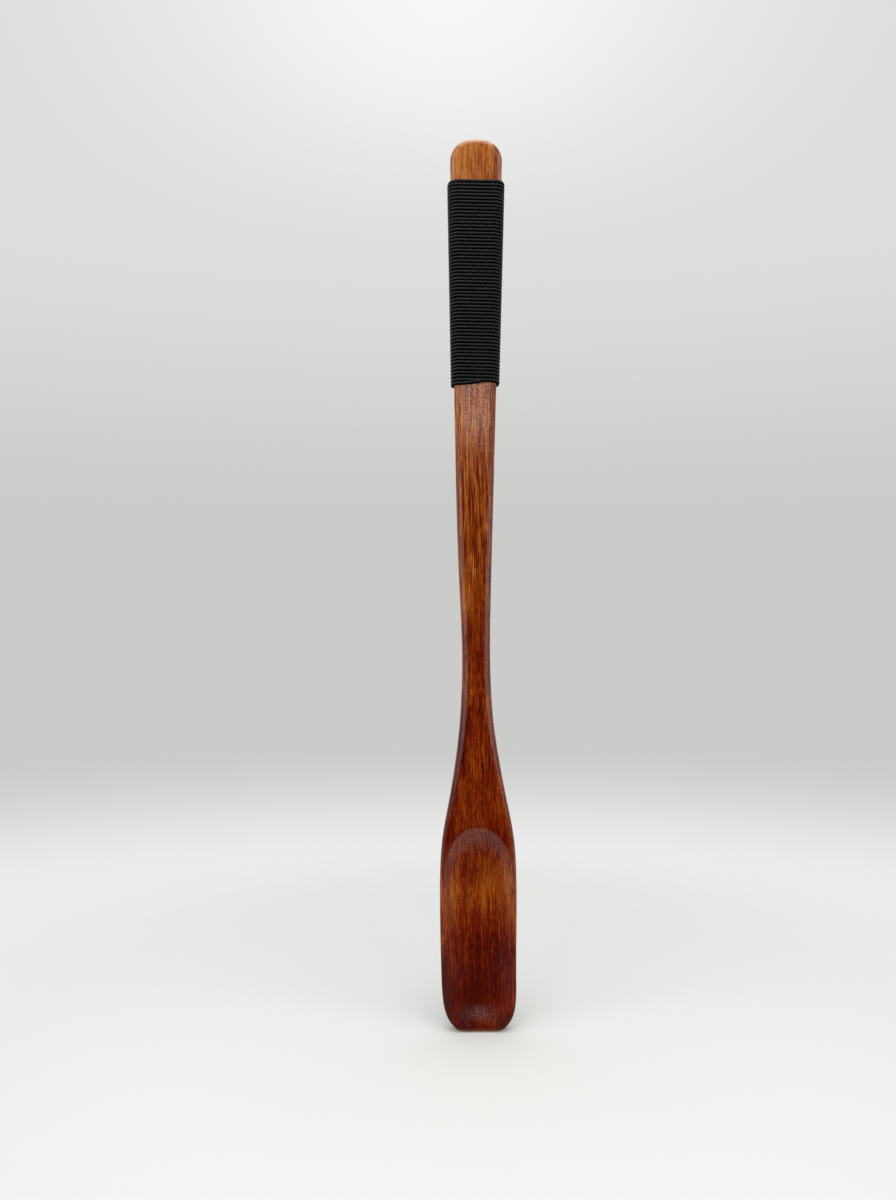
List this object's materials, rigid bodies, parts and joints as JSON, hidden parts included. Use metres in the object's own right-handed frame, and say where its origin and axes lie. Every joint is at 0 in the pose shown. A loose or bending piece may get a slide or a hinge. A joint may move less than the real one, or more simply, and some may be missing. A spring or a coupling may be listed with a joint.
{
  "type": "wooden mixing spoon",
  "caption": "Long slim wooden mixing spoon with a narrow neck, a long shallow squared bowl and a cord-whipped grip below a bare rounded pommel.",
  "frame": {"origin": "in the middle of the spoon's thickness and width at the middle of the cord winding, where a hand holds the grip", "axes": "+Z runs from the tip of the bowl up to the pommel, the hollow of the bowl faces -Y, and +X is to the right of someone who looks at the hollow"},
  "size_m": [0.0224, 0.0089, 0.26],
  "materials": {
    "lacquered_wood": "glossy clear lacquer over reddish-brown wood",
    "black_cord": "waxed three-strand black cord"
  },
  "bodies": {
    "root": {"spoon_body": "lacquered_wood", "cord_winding": "black_cord"}
  },
  "joints": []
}
